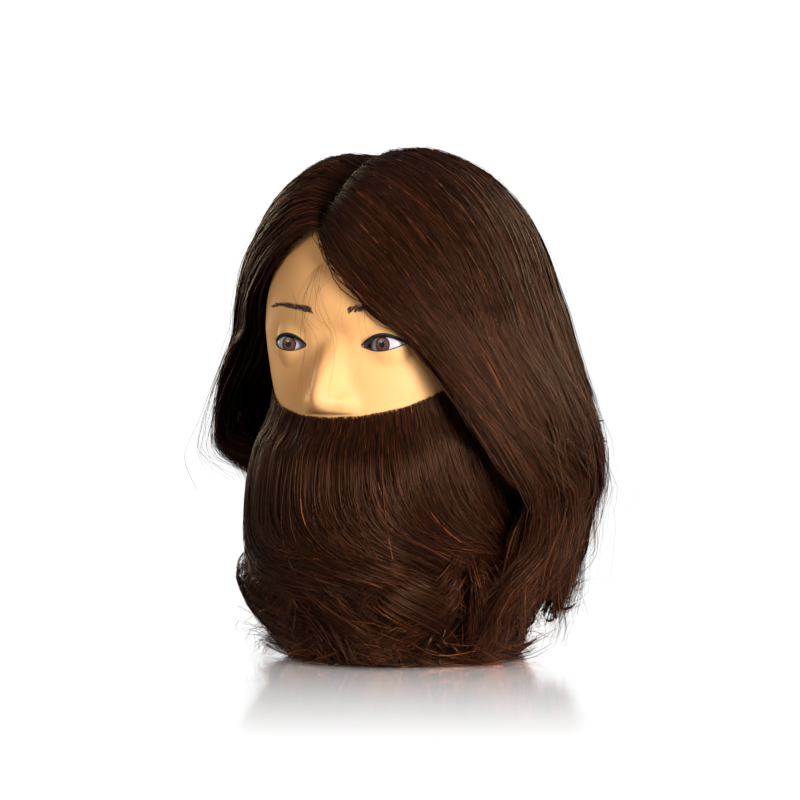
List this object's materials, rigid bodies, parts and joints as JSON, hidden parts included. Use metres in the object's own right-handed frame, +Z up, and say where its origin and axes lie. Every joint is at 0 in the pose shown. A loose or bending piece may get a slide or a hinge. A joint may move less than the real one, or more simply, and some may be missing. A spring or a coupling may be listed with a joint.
{
  "type": "mannequin training head",
  "caption": "Hairdressing training head with long parted brown hair, a full rooted beard and a socket in the neck for a clamp.",
  "frame": {"origin": "centre of the object's bounding box at the level of the neck's flat underside", "axes": "+Z up from the neck to the crown, -Y the way the face looks, +X towards the head's own left"},
  "size_m": [0.2297, 0.2328, 0.2904],
  "materials": {
    "skin_vinyl": "satin",
    "core_foam": "matte",
    "socket_plastic": "satin",
    "plate_plastic": "satin",
    "eye_white": "gloss",
    "iris_brown": "gloss",
    "pupil_black": "gloss",
    "cornea_clear": "gloss",
    "brow_hair": "matte",
    "lash_hair": "matte",
    "scalp_hair": "satin",
    "beard_hair": "satin"
  },
  "bodies": {
    "root": {"head_skin": "skin_vinyl", "foam_core": "core_foam", "neck_socket": "socket_plastic", "base_plate": "plate_plastic", "left_eye_globe": "eye_white", "right_eye_globe": "eye_white", "left_iris": "iris_brown", "right_iris": "iris_brown", "left_pupil": "pupil_black", "right_pupil": "pupil_black", "left_cornea": "cornea_clear", "right_cornea": "cornea_clear", "left_eyebrow": "brow_hair", "right_eyebrow": "brow_hair", "left_upper_lashes": "lash_hair", "right_upper_lashes": "lash_hair", "hair_left_fringe": "scalp_hair", "hair_left_side": "scalp_hair", "hair_left_crown": "scalp_hair", "hair_left_back": "scalp_hair", "hair_right_fringe": "scalp_hair", "hair_right_side": "scalp_hair", "hair_right_crown": "scalp_hair", "hair_right_back": "scalp_hair", "nape_hair_left": "scalp_hair", "nape_hair_right": "scalp_hair", "moustache": "beard_hair", "beard_chin": "beard_hair", "beard_left_cheek": "beard_hair", "beard_right_cheek": "beard_hair", "beard_left_sideburn": "beard_hair", "beard_right_sideburn": "beard_hair", "throat_hair_left": "beard_hair", "throat_hair_right": "beard_hair"}
  },
  "joints": []
}
